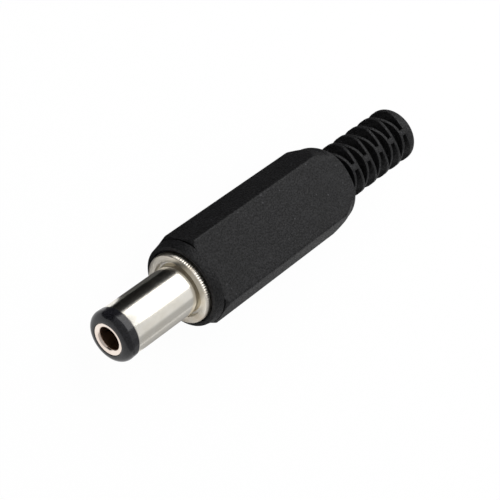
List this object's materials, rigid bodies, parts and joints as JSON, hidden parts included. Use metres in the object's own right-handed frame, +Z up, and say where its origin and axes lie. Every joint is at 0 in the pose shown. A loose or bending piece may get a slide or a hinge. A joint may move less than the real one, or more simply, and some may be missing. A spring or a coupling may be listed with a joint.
{
  "type": "dc barrel plug",
  "caption": "In-line power plug: plated round barrel with a black nose and centre socket, in a screw-on black faceted handle with a slotted bend relief.",
  "frame": {"origin": "centre of the flange's front face, on the plug's axis", "axes": "+Y along the axis towards the cable end, tip towards -Y; +Z up, out of the upper wide flat of the handle"},
  "size_m": [0.0102, 0.0471, 0.0096],
  "materials": {
    "handle_plastic": "fine matt moulded grain",
    "nickel": "bright nickel plate over turned brass",
    "nose_plastic": "smooth glossy black",
    "contact_metal": "nickel plate with a warm tint",
    "washer_board": "brown laminated insulating board",
    "tag_metal": "tinned stamped brass sheet"
  },
  "bodies": {
    "core": {"barrel_sleeve": "nickel", "nose_insulator": "nose_plastic", "centre_contact": "contact_metal", "rear_washer": "washer_board", "sleeve_tag": "tag_metal", "centre_tag": "tag_metal"},
    "handle": {"handle": "handle_plastic"}
  },
  "joints": [
    {"name": "handle_off", "type": "slide", "parent": "core", "child": "handle", "axis": [0, 1, 0], "range_m": [0, 0.02]}
  ]
}
